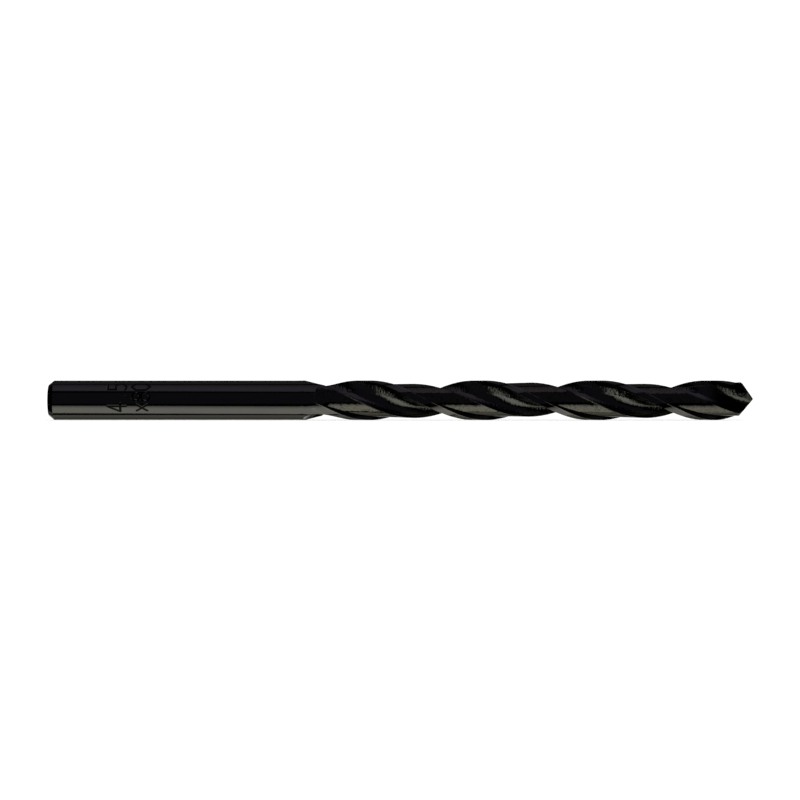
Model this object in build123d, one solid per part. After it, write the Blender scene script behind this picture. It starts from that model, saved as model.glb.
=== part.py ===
from build123d import *
import math
import os

# Two-flute twist drill, 4.5 mm x 80 mm, right-hand cutting, 118 degree point.
# Millimetres. The axis is X: the shank end stands at X = 0 and the chisel edge at X = LENGTH.
# Angles turn from +Y towards +Z, so they grow along X on the right-hand helix.

# whole tool
LENGTH = 80.0
RADIUS = 2.25           # over the margins
SHANK_RADIUS = 2.24
SHANK_LENGTH = 28.3
SHANK_BLEND = 0.7       # taper from the shank's radius to the body's
SHANK_CHAMFER_LONG = 0.6
SHANK_CHAMFER_DEEP = 0.5

# helix
LEAD = 26.29            # one turn of the flutes, 28.3 degrees at the outside
TOP_AT = 35.08          # where the leading corner of land A passes the top of the tool
TOP_ANGLE = 90.0

# flutes
HALF_WEB_POINT = 0.44
HALF_WEB_BACK = 0.64
FLUTE_OPENING = 91.6    # angle of the open flute, leading corner to heel
HEEL_RADIUS = 1.96
HEEL_WALL_RADIUS = 1.0  # concave wall on the heel side
FLUTE_LIFT_START = 33.2  # ahead of here the flutes keep their full depth
FLUTE_WHEEL = 6.0       # radius on which the flutes leave the blank
FLUTE_LIFT_ANGLE = 92.0  # direction of the lift, measured ahead of the leading corner

# lands: angle of the margin, radius behind it and radius at the heel, along the body and at the point
LANDS = (((19.7, 1.82, 1.88), (7.0, 1.72, 1.78)), ((18.2, 1.86, 2.02), (18.2, 1.98, 2.16)))
POINT_STARTS_AT = 73.0  # from here the lands change to what they are at the point
STEP_ANGLE = 2.5        # the margin's back wall takes this much of the turn
RELIEF_PAST_HEEL = 18.0
RELIEF_LIFT_START = 31.8
RELIEF_WHEEL = 4.0
RELIEF_BOW = 0.9        # the start of the relief is bowed, and reaches the heel this much later
RELIEF_BOW_AT = 0.34    # share of the relief's width where it starts first

# point
POINT_ANGLE = 118.0
CONE_HALF_ANGLE = 26.0  # half angle of the grinding cone of each flank
CONE_APEX_OUT = 5.0     # its apex stands this far past the axis
CONE_APEX_AHEAD = (1.05, 0.7)  # and this far ahead of the lip's diameter, one per flank
LIPS_MEET_PAST = (0.086, 0.226)  # the lips would meet the axis this far past the chisel edge
POINT_ZONE = 2.5        # length of the ground point

# construction
STATION_TURN = 30.0     # turn of the helix between two lofted sections
STATION_GROWTH = 1.3    # spacing grows by this from the run-out on
FLUTE_STATION = 0.55
RELIEF_STATION = 0.7
OUTSIDE = 1.5 * RADIUS  # cutters reach past the blank
CORNER = 1.85 * RADIUS
PAST_POINT = 1.5

STATION = LEAD * STATION_TURN / 360.0
HALF_POINT = math.radians(POINT_ANGLE / 2.0)
HALF_CONE = math.radians(CONE_HALF_ANGLE)


def polar(radius, degrees):
    """Plane coordinates of a point given by radius and angle."""
    return (radius * math.cos(math.radians(degrees)), radius * math.sin(math.radians(degrees)))


def turn_at(x):
    """Angle of land A's leading corner at a station."""
    return TOP_ANGLE + 360.0 * (x - TOP_AT) / LEAD


def half_web(x):
    """The web grows thicker from the point to the shank."""
    share = (LENGTH - x) / (LENGTH - FLUTE_LIFT_START)
    return HALF_WEB_POINT + (HALF_WEB_BACK - HALF_WEB_POINT) * share


def lift_off(x, start, wheel):
    """Height of a wheel of the given radius over its full depth, behind its last full station."""
    back = min(wheel, max(0.0, start - x))
    return wheel - math.sqrt(wheel * wheel - back * back)


def rake_angle(radius, web):
    """Angle of the flute face that gives a straight lip, measured from the leading corner."""
    def face(r):
        along = math.sqrt(max(0.0, r * r - web * web))
        swing = math.degrees(math.asin(min(1.0, web / r)))
        return swing + 360.0 * along / (LEAD * math.tan(HALF_POINT))
    return face(radius) - face(RADIUS)


def heel_wall(web):
    """Centre angle of the arc that touches the web and ends in the heel corner."""
    reach = web + HEEL_WALL_RADIUS
    cosine = (reach * reach + HEEL_RADIUS * HEEL_RADIUS - HEEL_WALL_RADIUS ** 2) / (2 * reach * HEEL_RADIUS)
    return FLUTE_OPENING - math.degrees(math.acos(cosine))


def flute_points(web):
    """Flute section from outside the rake face, over the web, to outside the heel."""
    radii = (OUTSIDE, RADIUS, 0.75 * RADIUS, 0.5 * RADIUS, 0.32 * RADIUS)
    rake = [polar(r, rake_angle(r, web)) for r in radii]
    middle = heel_wall(web)
    cx, cy = polar(web + HEEL_WALL_RADIUS, middle)
    hx, hy = polar(HEEL_RADIUS, FLUTE_OPENING)
    first = math.degrees(math.atan2(-cy, -cx)) % 360.0
    last = math.degrees(math.atan2(hy - cy, hx - cx)) % 360.0
    wall = []
    for step in range(6):
        px, py = polar(HEEL_WALL_RADIUS, first + (last - first) * step / 5.0)
        wall.append((cx + px, cy + py))
    out = polar(OUTSIDE, FLUTE_OPENING - 12.0)
    return rake + wall + [out]


def placed(x, points, turn):
    """Section points turned to their angle and stood up at their station."""
    c, s = math.cos(math.radians(turn)), math.sin(math.radians(turn))
    return [Vector(x + (p[2] if len(p) > 2 else 0.0), p[0] * c - p[1] * s, p[0] * s + p[1] * c)
            for p in points]


def section(curve, corners):
    """Closed wire: one smooth curve, closed by straight lines through the corners."""
    shares = [i / (len(curve) - 1.0) for i in range(len(curve))]
    edges = [Edge.make_spline(curve, parameters=shares)]
    path = [curve[-1]] + corners + [curve[0]]
    for a, b in zip(path[:-1], path[1:]):
        edges.append(Edge.make_line(a, b))
    return Wire(edges)


def flute_section(x, land):
    """Flute cutter section ahead of one land."""
    raised = lift_off(x, FLUTE_LIFT_START, FLUTE_WHEEL)
    dx, dy = polar(raised, FLUTE_LIFT_ANGLE)
    curve = [(px + dx, py + dy) for px, py in flute_points(half_web(x))]
    px, py = polar(CORNER, FLUTE_OPENING / 2.0)
    turn = turn_at(x) + 180.0 * land
    return section(placed(x, curve, turn), placed(x, [(px + dx, py + dy)], turn))


def relief_section(x, land):
    """Body clearance section behind one margin, bowed at its start."""
    near_point = max(0.0, x - POINT_STARTS_AT) / (LENGTH - POINT_STARTS_AT)
    margin, behind, heel = [a + (b - a) * near_point for a, b in zip(*LANDS[land])]
    heel_at = 180.0 - FLUTE_OPENING
    first = margin + STEP_ANGLE
    curve = []
    for step in range(6):
        at = first + (heel_at + RELIEF_PAST_HEEL - first) * step / 5.0
        share = (at - first) / (heel_at - first)
        bow = RELIEF_BOW * ((min(share, 1.0) - RELIEF_BOW_AT) / (1.0 - RELIEF_BOW_AT)) ** 2
        raised = lift_off(x, RELIEF_LIFT_START + bow, RELIEF_WHEEL)
        curve.append(polar(behind + (heel - behind) * share + raised, -at))
    far = heel_at + RELIEF_PAST_HEEL
    corners = [polar(OUTSIDE, -far), polar(CORNER, -(first + far) / 2.0), polar(OUTSIDE, -margin)]
    turn = turn_at(x) + 180.0 * land
    return section(placed(x, curve, turn), placed(x, corners, turn))


def stations(start, fine_until, fine):
    """Stations to past the point: close together in the run-out, then spreading."""
    found = [start]
    step = fine
    while found[-1] < LENGTH + PAST_POINT:
        if found[-1] > fine_until:
            step = min(STATION, step * STATION_GROWTH)
        found.append(found[-1] + step)
    return found


# blank: a cylindrical shank with a chamfered end, and the slightly thicker body
with BuildPart() as blank:
    with BuildSketch(Plane.XY):
        with BuildLine():
            Polyline((0, 0), (0, SHANK_RADIUS - SHANK_CHAMFER_DEEP),
                     (SHANK_CHAMFER_LONG, SHANK_RADIUS), (SHANK_LENGTH, SHANK_RADIUS),
                     (SHANK_LENGTH + SHANK_BLEND, RADIUS), (LENGTH + PAST_POINT / 2.0, RADIUS),
                     (LENGTH + PAST_POINT / 2.0, 0), close=True)
        make_face()
    revolve(axis=Axis.X)
drill = blank.part

# flutes, each on its own helix, leaving the blank on the wheel's radius
depth = RADIUS * 1.2 - half_web(FLUTE_LIFT_START)
flute_back = math.sqrt(FLUTE_WHEEL ** 2 - (FLUTE_WHEEL - depth) ** 2)
flute_at = stations(FLUTE_LIFT_START - flute_back, FLUTE_LIFT_START, FLUTE_STATION)
for land in range(2):
    cutter = Solid.make_loft([flute_section(x, land) for x in flute_at])
    drill = drill - cutter

# body clearance behind the margins
for land in range(2):
    rise = RADIUS * 1.04 - LANDS[land][0][1]
    relief_back = math.sqrt(RELIEF_WHEEL ** 2 - (RELIEF_WHEEL - rise) ** 2)
    relief_at = stations(RELIEF_LIFT_START - relief_back, RELIEF_LIFT_START + RELIEF_BOW, RELIEF_STATION)
    cutter = Solid.make_loft([relief_section(x, land) for x in relief_at])
    drill = drill - cutter

# point: each flank is part of a cone whose side runs along the lip
lean = HALF_POINT - HALF_CONE
zone_long = POINT_ZONE + PAST_POINT
cone_long = 3.0 * CONE_APEX_OUT
for land in range(2):
    lips_meet_x = LENGTH + LIPS_MEET_PAST[land]
    corner_x = lips_meet_x - math.sqrt(RADIUS ** 2 - HALF_WEB_POINT ** 2) / math.tan(HALF_POINT)
    lip_turn = turn_at(corner_x) - math.degrees(math.asin(HALF_WEB_POINT / RADIUS)) + 180.0 * land
    outward = Vector(0, *polar(1.0, lip_turn))
    ahead = Vector(0, *polar(1.0, lip_turn + 90.0))
    apex = Vector(lips_meet_x + CONE_APEX_OUT / math.tan(HALF_POINT), 0, 0)
    apex = apex - outward * CONE_APEX_OUT + ahead * CONE_APEX_AHEAD[land]
    down = outward * math.sin(lean) - Vector(math.cos(lean), 0, 0)
    cone = Solid.make_cone(0, cone_long * math.tan(HALF_CONE), cone_long, Plane(origin=apex, z_dir=down))
    zone = Solid.make_cylinder(OUTSIDE, zone_long,
                               Plane(origin=(LENGTH - POINT_ZONE, 0, 0), z_dir=(1, 0, 0)))
    drill = drill - (zone - cone)

os.makedirs("parts", exist_ok=True)
drill.label = "twist_drill"
export_step(drill, "parts/twist_drill.step")
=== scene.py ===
import math

import bpy
from bpy.props import FloatProperty, FloatVectorProperty, PointerProperty
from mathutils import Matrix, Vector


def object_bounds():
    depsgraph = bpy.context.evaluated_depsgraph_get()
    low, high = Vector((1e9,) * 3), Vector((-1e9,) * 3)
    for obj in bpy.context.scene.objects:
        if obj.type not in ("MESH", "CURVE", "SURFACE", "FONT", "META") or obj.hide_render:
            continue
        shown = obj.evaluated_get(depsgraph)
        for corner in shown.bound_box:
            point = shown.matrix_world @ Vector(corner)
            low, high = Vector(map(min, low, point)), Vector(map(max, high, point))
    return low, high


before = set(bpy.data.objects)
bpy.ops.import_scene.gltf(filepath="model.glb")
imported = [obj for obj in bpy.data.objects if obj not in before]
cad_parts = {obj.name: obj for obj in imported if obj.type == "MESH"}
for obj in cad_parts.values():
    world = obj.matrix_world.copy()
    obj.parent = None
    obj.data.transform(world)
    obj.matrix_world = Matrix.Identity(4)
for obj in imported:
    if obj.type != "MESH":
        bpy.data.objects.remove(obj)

bl_info = {
    "name": "Twist Drill",
    "version": (1, 0, 0),
    "blender": (4, 5, 0),
    "location": "3D View > Sidebar > Twist Drill",
    "description": "Finish, size figures and stage of a two-flute twist drill",
    "category": "3D View",
}

MM = 0.001
NODE = "twist_drill"
SLOT = "black_oxide_steel"
FRAME_LOW, FRAME_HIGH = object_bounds()
LENGTH = FRAME_HIGH.x - FRAME_LOW.x
RADIUS = (FRAME_HIGH.z - FRAME_LOW.z) / 2.0
LEAD = 26.29 * MM       # one turn of the flutes
TOP_AT = 35.08 * MM     # where the leading corner of the first land passes the top
TOP_TURN = 0.25         # the top, in turns from the Y axis
MARGIN_A = 19.7         # angle of each land's margin, behind its leading corner
MARGIN_B = 18.2
MARGIN_A_AT_POINT = 7.0
POINT_STARTS_AT = 73.0 * MM
HEEL = 88.4             # angle from the leading corner back to the heel

# Fades of the finish: where each one begins and where it is full.
BODY = (29.5 * MM, 31.0 * MM)           # along the drill, from the shank to the body
UNDER_OUTSIDE = (RADIUS - 0.03 * MM, RADIUS - 0.09 * MM)
CORE = (1.7 * MM, 1.6 * MM)             # all that lies nearer to the axis is flute
PAST_HEEL = (HEEL - 2.0, HEEL + 1.0)    # degrees behind the leading corner
BEHIND_MARGIN = (0.05, 0.15)            # millimetres past the margin's back edge
RAKE_SIDE = (0.75 * MM, 1.1 * MM)       # from the web out to the rake face
FLANK_FACING = (0.5, 0.58)              # how much a flank faces ahead
FLANK = (77.5 * MM, 77.8 * MM)
CORNER = (77.6 * MM, 78.0 * MM)         # outer corners of the point
RAKE_AT_LIP = (74.5 * MM, 76.3 * MM)
VIOLET = (0.38, 0.66)                   # of the clouds' noise
SPECKS = (0.54, 0.62)                   # of the fine noise
WORN_AND_GLINT_THROUGH = (0.3, 0.55)              # of the lapping's noise
FIGURE_DARK_CORE = (0.11, 0.05)                      # millimetres from a figure's line

# Bands of the finish: the fade at which each one starts, and the fade at which it ends.
MARGIN_LINE = ((-0.12, -0.05), (0.03, 0.0))         # millimetres past the margin's back edge
CLEARANCE_LINE = ((0.003, 0.008), (0.024, 0.014))   # millimetres under the outside
RUN_OUT = ((29.8 * MM, 30.1 * MM), (33.0 * MM, 32.6 * MM))

# Noise of the oxide, in cells per metre.
CLOUD_SCALE = 420.0
LAP_SCALE = 1500.0
RAGGED_SCALE = 2600.0
FINE_SCALE = 5200.0

# Share of a tint where it is full.
STRAW_ON_CLEARANCE = 0.6
SPECKS_ON_CLEARANCE = 0.6
# Bare steel at the clearance's start, also a painted highlight of the glint on its edge.
WORN_AND_GLINT_AT_RUN_OUT = 0.6
# Darkening inside the figures' grooves.
DARK_IN_FIGURES = 0.95
# Painted shade on the point's flanks, and on the rake faces next to the lips.
PAINTED_SHADE_ON_FLANKS = 0.7
PAINTED_SHADE_ON_RAKE = 0.22

# Painted shade on a rake face next to the lip, and on the point's outer corners. Levels are millimetres from
# the drill's middle plane.
LIP_BACK = 0.2 * MM
DARK_RAKE = 3.5 * MM    # how far it reaches back from the lip
DARK_RAKE_BOW = 1.3     # rise of its bowed edge at that place
DARK_RAKE_EDGE = (-0.1, -0.2)
DARK_RAKE_RAGGED = 0.3
CORNER_LEVEL = (0.7, 0.9)

# Roughness that is added to the shank's or the flutes' own.
ROUGH_FINE = 0.08
ROUGH_FLANK = 0.1
ROUGH_WORN = 0.45

# Wheel marks that cross the flutes: pitch along the drill, and length across.
GRIND_LONG = 0.7 * MM
COMB_PITCH, COMB_LONG = 0.1 * MM, 0.4 * MM
FLANK_PITCH, FLANK_LONG = 0.05 * MM, 1.2 * MM

# Heights of the marks, in millimetres. Those of the wheel have a second part on the rake side.
GRIND_HEIGHT, GRIND_ON_RAKE = 0.03, 0.05
COMB_HEIGHT, COMB_ON_RAKE = 0.006, 0.012
FLUTE_GRAIN = 0.006
LAP_HEIGHT = 0.012
LAP_GRAIN = 0.004
FLANK_HEIGHT = 0.012
OXIDE_GRAIN = 0.0005

# Size figures rolled into the shank, in millimetres. Each has a field 0.95 wide and 2.1 high. Strokes
# are straight. Rings have a centre, a radius and a place across, up to which they are cut open.
FIGURES = {
    "4": {"strokes": (((0.66, 0.0), (0.66, 2.1)), ((0.66, 2.1), (0.0, 0.65)),
                      ((0.0, 0.65), (0.95, 0.65)))},
    "5": {"strokes": (((0.88, 2.1), (0.12, 2.1)), ((0.12, 2.1), (0.08, 1.15)),
                      ((0.08, 1.15), (0.42, 1.24)), ((0.06, 0.12), (0.42, 0.0))),
          "rings": (((0.33, 0.62), 0.62, 0.1),)},
    "8": {"rings": (((0.47, 0.56), 0.5, None), ((0.47, 1.6), 0.44, None))},
    "0": {"strokes": (((0.02, 0.5), (0.02, 1.6)), ((0.92, 0.5), (0.92, 1.6)),
                      ((0.02, 0.5), (0.47, 0.0)), ((0.47, 0.0), (0.92, 0.5)),
                      ((0.02, 1.6), (0.47, 2.1)), ((0.47, 2.1), (0.92, 1.6)))},
    "x": {"strokes": (((0.1, 0.3), (0.85, 1.5)), ((0.85, 0.3), (0.1, 1.5)))},
    ".": {"strokes": (((0.45, 0.05), (0.5, 0.1)),)},
}
FIGURE_PITCH = 1.26     # from one figure to the next, round the shank
GROOVE_HALF_WIDTH = 0.14
GROOVE_FLOOR = 0.25     # share of it that is the groove's flat floor
GROOVE_DEPTH = 0.07
# Rows of figures: text, place of its foot along the shank, and direction from which it reads upwards
# at the front. Directions turn about the drill: 0 is up, 90 to the front, 180 down, 270 to the back.
ROWS = (("4.5", 8.95, 124.0), ("x80", 11.65, 124.0))

# Panels of the light tent. A tilt leans along the drill, towards the point. A panel's ribs give its
# first and last direction at a tilt, its glow goes by the stops across it, and it fades out over so
# many degrees of tilt towards both ends.
PANELS = (
    {"name": "window", "colour": (1.0, 1.0, 1.0), "fade": 26.0,
     "ribs": ((-38.0, 110.0, 132.0), (-22.0, 115.0, 150.0), (-10.0, 121.0, 168.0),
              (8.0, 135.0, 193.0), (18.0, 148.0, 204.0), (28.0, 158.0, 214.0)),
     "stops": ((0.0, 0.4), (0.15, 0.7), (0.34, 1.0), (1.0, 1.0))},
    {"name": "ceiling", "colour": (1.0, 0.88, 1.28), "fade": 24.0,
     "ribs": ((-42.0, -34.0, 5.0), (26.0, 9.0, 62.0)),
     "stops": ((0.0, 0.1), (0.6, 0.17), (1.0, 0.17))},
    {"name": "back_wall", "colour": (1.0, 0.95, 1.1), "fade": 12.0,
     "ribs": ((-45.0, -75.0, -20.0), (45.0, -70.0, -15.0)),
     "stops": ((0.0, 0.02), (1.0, 0.085))},
    {"name": "table", "colour": (1.0, 1.0, 0.95), "fade": 12.0,
     "ribs": ((-45.0, 184.0, 240.0), (45.0, 194.0, 240.0)),
     "stops": ((0.0, 0.5), (0.2, 0.44), (0.55, 0.2), (1.0, 0.08))},
    {"name": "room", "colour": (0.92, 0.88, 1.3), "fade": 12.0,
     "ribs": ((-75.0, 45.0, 112.0), (75.0, 45.0, 112.0)),
     "stops": ((0.0, 0.03), (1.0, 0.03))},
    {"name": "back_window", "colour": (1.0, 1.0, 1.0), "fade": 12.0,
     "ribs": ((-45.0, 238.0, 270.0), (45.0, 238.0, 270.0)),
     "stops": ((0.0, 0.12), (0.3, 0.5), (1.0, 0.5))},
    {"name": "right_end", "colour": (1.0, 1.0, 0.98), "fade": 6.0,
     "ribs": ((48.0, 66.0, 112.0), (80.0, 66.0, 112.0)),
     "stops": ((0.0, 0.3), (0.3, 0.7), (1.0, 0.7))},
    {"name": "left_end", "colour": (1.0, 1.0, 0.98), "fade": 6.0,
     "ribs": ((-70.0, 60.0, 112.0), (-44.0, 60.0, 112.0)),
     "stops": ((0.0, 0.3), (0.3, 0.8), (1.0, 0.8))},
    {"name": "left_back", "colour": (1.0, 1.0, 0.98), "fade": 12.0,
     "ribs": ((-80.0, 222.0, 268.0), (-34.0, 222.0, 268.0)),
     "stops": ((0.0, 0.3), (0.3, 0.7), (1.0, 0.6))},
    {"name": "right_back", "colour": (1.0, 1.0, 0.98), "fade": 12.0,
     "ribs": ((34.0, 222.0, 268.0), (80.0, 222.0, 268.0)),
     "stops": ((0.0, 0.3), (0.3, 0.7), (1.0, 0.6))},
    {"name": "right_top", "colour": (1.0, 1.0, 0.98), "fade": 10.0,
     "ribs": ((33.0, -92.0, -4.0), (44.0, -92.0, 14.0), (84.0, -92.0, 30.0)),
     "stops": ((0.0, 0.6), (0.45, 0.5), (0.85, 0.4), (1.0, 0.1))},
    {"name": "left_top", "colour": (1.0, 1.0, 0.98), "fade": 8.0,
     "ribs": ((-84.0, -92.0, -50.0), (-44.0, -92.0, -62.0)),
     "stops": ((0.0, 0.6), (0.7, 0.6), (1.0, 0.1))},
)
TENT_RADIUS = 2.0
PANEL_ROWS = 24
PANEL_COLUMNS = 66
FLOOR_HALF = 3.0


class Value:
    """A node output that takes part in plain arithmetic: each operation adds its Math node."""

    def __init__(self, sheet, socket):
        self.sheet = sheet
        self.socket = socket

    def math(self, operation, *others):
        values = dict(enumerate((self,) + others))
        return self.sheet.add("ShaderNodeMath", {"operation": operation}, values)["Value"]

    def __add__(self, other):
        return self.math("ADD", other)

    def __sub__(self, other):
        return self.math("SUBTRACT", other)

    def __mul__(self, other):
        return self.math("MULTIPLY", other)

    def __truediv__(self, other):
        return self.math("DIVIDE", other)

    def __pow__(self, other):
        return self.math("POWER", other)

    def __radd__(self, other):
        return self.sheet.number(other) + self

    def __rsub__(self, other):
        return self.sheet.number(other) - self

    def __rmul__(self, other):
        return self.sheet.number(other) * self

    def __rtruediv__(self, other):
        return self.sheet.number(other) / self

    def __neg__(self):
        return self * -1.0


class Sheet:
    """The node tree of one material or world."""

    def __init__(self, owner):
        owner.use_nodes = True
        self.tree = owner.node_tree
        self.tree.nodes.clear()

    def add(self, kind, settings=None, inputs=None):
        """Adds a node: its settings first, then the values or links of its sockets."""
        node = self.tree.nodes.new(kind)
        for name, setting in (settings or {}).items():
            setattr(node, name, setting)
        for name, value in (inputs or {}).items():
            if isinstance(value, Value):
                self.tree.links.new(value.socket, node.inputs[name])
            else:
                node.inputs[name].default_value = value
        return {socket.name: Value(self, socket) for socket in node.outputs if socket.enabled}

    def number(self, value):
        if isinstance(value, Value):
            return value
        return self.add("ShaderNodeMath", {"operation": "ADD"}, {0: float(value), 1: 0.0})["Value"]

    def step(self, value, low, high):
        """0 up to low, 1 from high on, and smooth between; low may be the greater."""
        if low > high:
            return 1.0 - self.step(value, high, low)
        inputs = {"Value": value, "From Min": low, "From Max": high}
        return self.add("ShaderNodeMapRange", {"interpolation_type": "SMOOTHSTEP"}, inputs)["Result"]

    def band(self, value, start, end):
        """1 between two fades."""
        return self.step(value, *start) * self.step(value, *end)

    def blend(self, factor, first, second):
        """Mixes two colours, by the Mix node's colour sockets."""
        inputs = {0: factor, 6: first, 7: second}
        return self.add("ShaderNodeMix", {"data_type": "RGBA"}, inputs)["Result"]


def colour4(colour):
    return (colour[0], colour[1], colour[2], 1.0)


class SteelSettings(bpy.types.PropertyGroup):
    """Finish of the steam-oxidised steel."""

    oxide: FloatVectorProperty(
        name="Oxide", description="Reflected colour of the oxide", subtype="COLOR",
        size=3, min=0.0, max=1.0, default=(0.112, 0.112, 0.094))
    oxide_violet: FloatVectorProperty(
        name="Violet oxide", description="Reflected colour where the oxide is thinner", subtype="COLOR",
        size=3, min=0.0, max=1.0, default=(0.110, 0.106, 0.098))
    oxide_straw: FloatVectorProperty(
        name="Straw oxide", description="Reflected colour on the body clearance", subtype="COLOR",
        size=3, min=0.0, max=1.0, default=(0.122, 0.116, 0.084))
    # The darkest oxide: the clearance's specks, the darkened figures, and painted shade on the flanks and by
    # the lips.
    dark_oxide_and_shade: FloatVectorProperty(
        name="Soot", description="Reflected colour of the darkest oxide", subtype="COLOR",
        size=3, min=0.0, max=1.0, default=(0.006, 0.006, 0.006))
    # Bare steel on the worn edges, also a painted highlight of the glint on their bevels.
    bare: FloatVectorProperty(
        name="Bare steel", description="Reflected colour of steel worn bare on the edges", subtype="COLOR",
        size=3, min=0.0, max=1.0, default=(0.36, 0.34, 0.29))
    shank_roughness: FloatProperty(
        name="Shank roughness", description="Roughness of the ground shank and margins",
        min=0.0, max=1.0, default=0.10)
    flute_roughness: FloatProperty(
        name="Flute roughness", description="Roughness in the flutes", min=0.0, max=1.0, default=0.16)
    grind_pitch: FloatProperty(
        name="Grinding pitch", description="Spacing of the wheel marks across the flutes",
        unit="LENGTH", min=0.00005, max=0.002, default=0.25 * MM)


class StudioSettings(bpy.types.PropertyGroup):
    """Camera and light."""

    distance: FloatProperty(
        name="Camera distance", description="From the camera to the drill's axis",
        unit="LENGTH", min=0.1, max=2.0, default=0.317)
    view_width: FloatProperty(
        name="View width", description="Width seen at the drill's axis",
        unit="LENGTH", min=0.02, max=1.0, default=90.96 * MM)
    centre: FloatProperty(
        name="View centre", description="Place along the drill at the middle of the view",
        unit="LENGTH", min=0.0, max=0.2, default=39.897 * MM)
    height: FloatProperty(
        name="Camera height", description="Height of the camera over the drill's axis",
        unit="LENGTH", min=-0.1, max=0.1, default=0.028 * MM)
    floor_colour: FloatVectorProperty(
        name="Floor", description="Colour of the floor", subtype="COLOR",
        size=3, min=0.0, max=1.0, default=(0.93, 0.93, 0.93))
    floor_glow: FloatProperty(
        name="Floor glow", description="Light that the floor gives off itself, to soften the shadow",
        min=0.0, max=1.0, default=0.05)
    daylight: FloatProperty(
        name="Daylight", description="Strength of the white surroundings", min=0.0, max=10.0, default=1.1)


class DRILL_OT_finish_steel(bpy.types.Operator):
    """Gives the drill its oxidised steel, with grinding marks in the flutes"""

    bl_idname = "drill.finish_steel"
    bl_label = "Finish the Steel"

    def execute(self, context):
        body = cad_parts[NODE]
        material = oxide_steel(context.scene.drill_steel)
        body.data.materials.clear()
        body.data.materials.append(material)
        return {"FINISHED"}


class Surface:
    """A point of the drill's surface: its place, and which ground face it lies on."""

    def __init__(self, sheet):
        self.sheet = sheet
        self.place = sheet.add("ShaderNodeTexCoord")["Object"]
        split = sheet.add("ShaderNodeSeparateXYZ", None, {"Vector": self.place})
        self.x = split["X"]
        self.y = split["Y"]
        self.z = split["Z"]
        self.radius = (self.y * self.y + self.z * self.z) ** 0.5
        self.find_land()
        self.find_face()

    def find_land(self):
        """Degrees behind the nearest leading corner, and millimetres past its margin's back edge."""
        turns = (self.x - TOP_AT) / LEAD + TOP_TURN - self.z.math("ARCTAN2", self.y) / (2.0 * math.pi)
        self.behind = (turns * 2.0).math("FRACT") * 180.0
        first_land = turns.math("FRACT").math("LESS_THAN", 0.5)
        near_point = ((self.x - POINT_STARTS_AT) / (LENGTH - POINT_STARTS_AT)).math("MAXIMUM", 0.0)
        narrower = near_point * (MARGIN_A - MARGIN_A_AT_POINT)
        margin = first_land * (MARGIN_A - MARGIN_B - narrower) + MARGIN_B
        self.past_margin = (self.behind - margin) * (math.radians(1.0) * RADIUS / MM)

    def find_face(self):
        """Shares of the body, the flutes, the body clearance and the point's flanks."""
        step = self.sheet.step
        facing = self.sheet.add("ShaderNodeNewGeometry")["Normal"]
        facing_x = self.sheet.add("ShaderNodeSeparateXYZ", None, {"Vector": facing})["X"]
        under_outside = step(self.radius, *UNDER_OUTSIDE)
        core = step(self.radius, *CORE)
        self.on_body = step(self.x, *BODY)
        self.in_flute = step(self.behind, *PAST_HEEL).math("MAXIMUM", core) * under_outside * self.on_body
        self.on_clearance = (1.0 - self.in_flute) * under_outside * self.on_body
        self.on_flank = step(facing_x, *FLANK_FACING) * step(self.x, *FLANK)

    def noise(self, scale, detail):
        inputs = {"Vector": self.place, "Scale": scale, "Detail": detail, "Roughness": 0.6}
        return self.sheet.add("ShaderNodeTexNoise", {"noise_dimensions": "3D"}, inputs)["Fac"]

    def lines_across(self, pitch, long):
        """Fine uneven lines that cross the flutes, as the wheel left them."""
        inputs = {"X": self.x / pitch, "Y": self.y / long, "Z": self.z / long}
        marks = self.sheet.add("ShaderNodeCombineXYZ", None, inputs)["Vector"]
        inputs = {"Vector": marks, "Scale": 1.0, "Detail": 2.0, "Roughness": 0.55}
        return self.sheet.add("ShaderNodeTexNoise", {"noise_dimensions": "3D"}, inputs)["Fac"]


def stroke_distance(across, along, start, end):
    """Distance from a point of the shank's unrolled surface to a straight stroke."""
    dx = end[0] - start[0]
    dy = end[1] - start[1]
    px = across - start[0]
    py = along - start[1]
    share = (px * dx + py * dy) / (dx * dx + dy * dy)
    share = share.math("MAXIMUM", 0.0).math("MINIMUM", 1.0)
    return ((px - share * dx) ** 2.0 + (py - share * dy) ** 2.0) ** 0.5


def ring_distance(across, along, centre, radius, opening):
    """Distance to a ring; an opening keeps only what lies past it, across."""
    px = across - centre[0]
    py = along - centre[1]
    ring = ((px ** 2.0 + py ** 2.0) ** 0.5 - radius).math("ABSOLUTE")
    if opening is None:
        return ring
    return ring.math("MAXIMUM", opening - px)


def nearest_figure(at):
    """Distance to the nearest line of the size figures, in millimetres."""
    turn = (-at.y).math("ARCTAN2", at.z) * (RADIUS / MM)
    nearest = None
    for text, foot, start in ROWS:
        along = foot - at.x / MM
        for place, figure in enumerate(text):
            across = math.radians(start) * RADIUS / MM - FIGURE_PITCH * place - turn
            parts = [stroke_distance(across, along, *ends) for ends in FIGURES[figure].get("strokes", ())]
            parts += [ring_distance(across, along, *ring) for ring in FIGURES[figure].get("rings", ())]
            for part in parts:
                nearest = part if nearest is None else nearest.math("MINIMUM", part)
    return nearest


def lip_painted_shade(at):
    """Painted shade: the rake faces are darkened next to the lips, and so are the point's outer corners."""
    step = at.sheet.step
    ragged = (at.noise(RAGGED_SCALE, 2.0) - 0.5) * DARK_RAKE_RAGGED
    level = -(at.z * at.y.math("SIGN")) / MM + ragged
    back = (LENGTH - LIP_BACK - at.x) / DARK_RAKE
    face = step(level - back * back * DARK_RAKE_BOW, *DARK_RAKE_EDGE)
    rake = face.math("MAXIMUM", PAINTED_SHADE_ON_RAKE) * at.in_flute * step(at.x, *RAKE_AT_LIP)
    return rake.math("MAXIMUM", step(at.x, *CORNER) * step(level, *CORNER_LEVEL))


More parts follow.
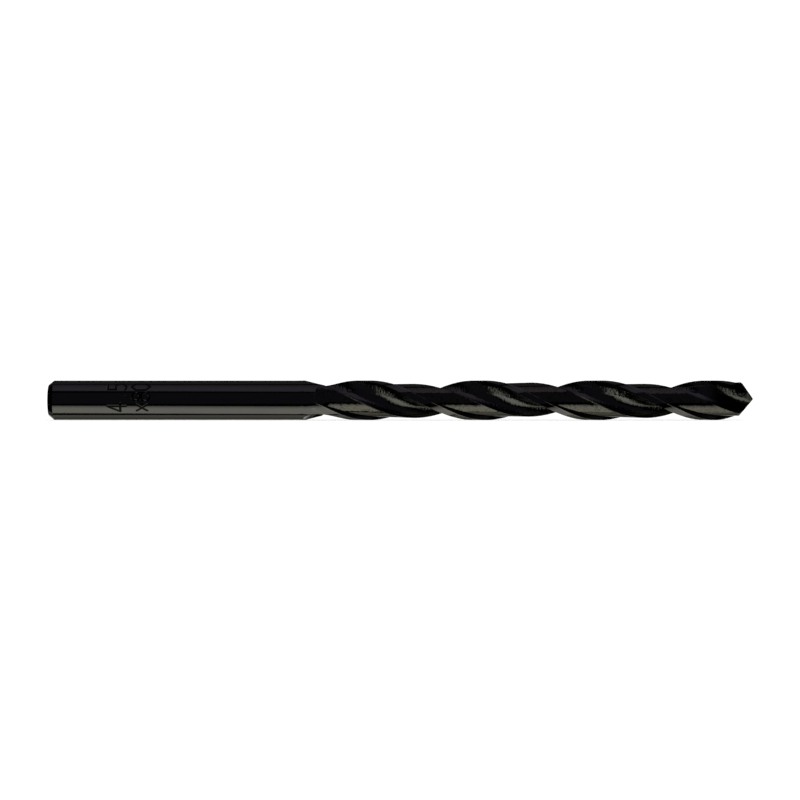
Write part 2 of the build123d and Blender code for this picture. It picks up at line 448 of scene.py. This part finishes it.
def worn_and_glint_lines(at):
    """Edges worn bare, brightened also as a painted highlight of the glint on their fine bevels: the back of
    each margin, and the start of the body clearance.
    """
    sheet = at.sheet
    edge = sheet.band(at.past_margin, *MARGIN_LINE) * at.on_body * (1.0 - at.in_flute)
    start = sheet.band((RADIUS - at.radius) / MM, *CLEARANCE_LINE) * sheet.band(at.x, *RUN_OUT)
    start = start * sheet.step(at.past_margin, *BEHIND_MARGIN)
    return edge.math("MAXIMUM", start * WORN_AND_GLINT_AT_RUN_OUT)


def oxide_steel(settings):
    """Steam-oxidised steel: smooth on the shank and margins, ground across in the flutes."""
    material = bpy.data.materials.new(SLOT)
    sheet = Sheet(material)
    at = Surface(sheet)
    cloud = at.noise(CLOUD_SCALE, 4.0)
    lap = at.noise(LAP_SCALE, 3.0)
    fine = at.noise(FINE_SCALE, 3.0)
    figure = nearest_figure(at)
    # Worn edges, brightened also as a painted highlight of the glint on their bevels.
    worn = worn_and_glint_lines(at) * sheet.step(lap, *WORN_AND_GLINT_THROUGH)

    # colour: violet clouds, straw and specks on the clearance, bare edges that are also a painted highlight,
    # darkened figure grooves, and painted shade on the flanks and by the lips
    colour = sheet.blend(sheet.step(cloud, *VIOLET), colour4(settings.oxide), colour4(settings.oxide_violet))
    colour = sheet.blend(at.on_clearance * STRAW_ON_CLEARANCE, colour, colour4(settings.oxide_straw))
    colour = sheet.blend(worn, colour, colour4(settings.bare))
    dark_oxide_and_shade = at.on_clearance * sheet.step(fine, *SPECKS) * SPECKS_ON_CLEARANCE
    # Darkened inside the figures' grooves.
    dark_oxide_and_shade = dark_oxide_and_shade.math("MAXIMUM", sheet.step(figure, *FIGURE_DARK_CORE) * DARK_IN_FIGURES)
    # Painted shade: the point's flanks and the rake faces next to the lips.
    dark_oxide_and_shade = dark_oxide_and_shade.math("MAXIMUM", at.on_flank * PAINTED_SHADE_ON_FLANKS).math("MAXIMUM", lip_painted_shade(at))
    colour = sheet.blend(dark_oxide_and_shade, colour, colour4(settings.dark_oxide_and_shade))

    smooth = settings.shank_roughness
    roughness = at.in_flute * (settings.flute_roughness - smooth) + smooth
    roughness = roughness + (fine - 0.5) * ROUGH_FINE + at.on_flank * ROUGH_FLANK + worn * ROUGH_WORN

    # height, in millimetres
    rake_side = sheet.step(at.radius, *RAKE_SIDE)
    grind = at.lines_across(settings.grind_pitch, GRIND_LONG) * (GRIND_HEIGHT + GRIND_ON_RAKE * rake_side)
    comb = at.lines_across(COMB_PITCH, COMB_LONG) * (COMB_HEIGHT + COMB_ON_RAKE * rake_side)
    flute = at.in_flute * (grind + comb + fine * FLUTE_GRAIN)
    lapped = at.on_clearance * (lap * LAP_HEIGHT + cloud * LAP_HEIGHT + fine * LAP_GRAIN)
    flank = at.on_flank * at.lines_across(FLANK_PITCH, FLANK_LONG) * FLANK_HEIGHT
    groove = sheet.step(figure, GROOVE_HALF_WIDTH, GROOVE_FLOOR * GROOVE_HALF_WIDTH) * GROOVE_DEPTH
    height = flute + lapped + flank + fine * OXIDE_GRAIN - groove
    normal = sheet.add("ShaderNodeBump", None, {"Strength": 1.0, "Distance": MM, "Height": height})["Normal"]
    shader = sheet.add("ShaderNodeBsdfPrincipled", None, {
        "Base Color": colour, "Metallic": 1.0, "Roughness": roughness, "Normal": normal})["BSDF"]
    sheet.add("ShaderNodeOutputMaterial", None, {"Surface": shader})
    return material


class DRILL_OT_stage(bpy.types.Operator):
    """Sets the floor, the light tent and the camera"""

    bl_idname = "drill.stage"
    bl_label = "Set the Stage"

    def execute(self, context):
        scene = context.scene
        settings = scene.drill_studio
        scene.view_settings.view_transform = "Standard"
        make_floor(scene, settings)
        make_world(scene, settings)
        for panel in PANELS:
            make_panel(scene, panel)
        make_camera(scene, settings)
        return {"FINISHED"}


def make_floor(scene, settings):
    """White floor under the drill."""
    mesh = bpy.data.meshes.new("floor")
    corners = [(-FLOOR_HALF, -FLOOR_HALF, 0.0), (FLOOR_HALF, -FLOOR_HALF, 0.0),
               (FLOOR_HALF, FLOOR_HALF, 0.0), (-FLOOR_HALF, FLOOR_HALF, 0.0)]
    mesh.from_pydata(corners, [], [(0, 1, 2, 3)])
    floor = bpy.data.objects.new("floor", mesh)
    floor.location = (0.0, 0.0, FRAME_LOW.z)
    floor.visible_glossy = False
    scene.collection.objects.link(floor)
    material = bpy.data.materials.new("floor_white")
    sheet = Sheet(material)
    shader = sheet.add("ShaderNodeBsdfPrincipled", None, {
        "Base Color": colour4(settings.floor_colour), "Roughness": 0.9,
        "Specular IOR Level": 0.0, "Emission Color": (1.0, 1.0, 1.0, 1.0),
        "Emission Strength": settings.floor_glow})["BSDF"]
    sheet.add("ShaderNodeOutputMaterial", None, {"Surface": shader})
    mesh.materials.append(material)


def make_world(scene, settings):
    """Even white surroundings for the floor; the drill's reflections come from the tent."""
    world = bpy.data.worlds.new("surroundings")
    sheet = Sheet(world)
    background = sheet.add("ShaderNodeBackground", None,
                           {"Color": (1.0, 1.0, 1.0, 1.0), "Strength": settings.daylight})["Background"]
    sheet.add("ShaderNodeOutputWorld", None, {"Surface": background})
    world.cycles_visibility.glossy = False
    scene.world = world


def between(rows, place):
    """Values at a place, straight between rows that each start with their own place."""
    for first, last in zip(rows[:-1], rows[1:]):
        if place <= last[0]:
            share = (place - first[0]) / (last[0] - first[0])
            return [a + (b - a) * share for a, b in zip(first[1:], last[1:])]
    return list(rows[-1][1:])


def make_panel(scene, panel):
    """One curved panel of the light tent, seen only in reflections."""
    ribs = panel["ribs"]
    first_tilt = ribs[0][0]
    last_tilt = ribs[-1][0]
    points = []
    glow = []
    for row in range(PANEL_ROWS + 1):
        across = row / PANEL_ROWS
        for column in range(PANEL_COLUMNS + 1):
            tilt = first_tilt + (last_tilt - first_tilt) * column / PANEL_COLUMNS
            first, last = between(ribs, tilt)
            angle = math.radians(first + (last - first) * across)
            lean = math.radians(tilt)
            points.append((LENGTH / 2.0 + TENT_RADIUS * math.sin(lean),
                           -TENT_RADIUS * math.cos(lean) * math.sin(angle),
                           TENT_RADIUS * math.cos(lean) * math.cos(angle)))
            ends = min(1.0, min(tilt - first_tilt, last_tilt - tilt) / panel["fade"])
            glow.append(between(panel["stops"], across)[0] * ends * ends * (3.0 - 2.0 * ends))
    wide = PANEL_COLUMNS + 1
    faces = [(r * wide + c, r * wide + c + 1, (r + 1) * wide + c + 1, (r + 1) * wide + c)
             for r in range(PANEL_ROWS) for c in range(PANEL_COLUMNS)]
    mesh = bpy.data.meshes.new(panel["name"])
    mesh.from_pydata(points, [], faces)
    attribute = mesh.attributes.new("glow", "FLOAT", "POINT")
    for item, value in zip(attribute.data, glow):
        item.value = value
    card = bpy.data.objects.new(panel["name"], mesh)
    card.visible_camera = False
    card.visible_diffuse = False
    card.visible_shadow = False
    scene.collection.objects.link(card)
    material = bpy.data.materials.new(panel["name"])
    sheet = Sheet(material)
    strength = sheet.add("ShaderNodeAttribute", {"attribute_name": "glow"})["Fac"]
    light = sheet.add("ShaderNodeEmission", None,
                      {"Color": colour4(panel["colour"]), "Strength": strength})["Emission"]
    sheet.add("ShaderNodeOutputMaterial", None, {"Surface": light})
    mesh.materials.append(material)


def make_camera(scene, settings):
    """Looks squarely at the side of the drill."""
    data = bpy.data.cameras.new("camera")
    data.lens = data.sensor_width * settings.distance / settings.view_width
    camera = bpy.data.objects.new("camera", data)
    camera.location = (settings.centre, -settings.distance, settings.height)
    camera.rotation_euler = (math.radians(90.0), 0.0, 0.0)
    scene.collection.objects.link(camera)
    scene.camera = camera


class DRILL_PT_sidebar(bpy.types.Panel):
    """Sidebar of the drill's steps"""

    bl_idname = "DRILL_PT_sidebar"
    bl_label = "Twist Drill"
    bl_space_type = "VIEW_3D"
    bl_region_type = "UI"
    bl_category = "Twist Drill"

    def draw(self, context):
        layout = self.layout
        for group in (context.scene.drill_steel, context.scene.drill_studio):
            column = layout.column()
            for name in group.__annotations__:
                column.prop(group, name)
        layout.operator(DRILL_OT_finish_steel.bl_idname)
        layout.operator(DRILL_OT_stage.bl_idname)


CLASSES = (SteelSettings, StudioSettings, DRILL_OT_finish_steel, DRILL_OT_stage, DRILL_PT_sidebar)


def register():
    for each in CLASSES:
        bpy.utils.register_class(each)
    bpy.types.Scene.drill_steel = PointerProperty(type=SteelSettings)
    bpy.types.Scene.drill_studio = PointerProperty(type=StudioSettings)


def unregister():
    del bpy.types.Scene.drill_studio
    del bpy.types.Scene.drill_steel
    for each in reversed(CLASSES):
        bpy.utils.unregister_class(each)


def main():
    register()
    bpy.ops.drill.finish_steel()
    bpy.ops.drill.stage()


if __name__ == "__main__":
    main()
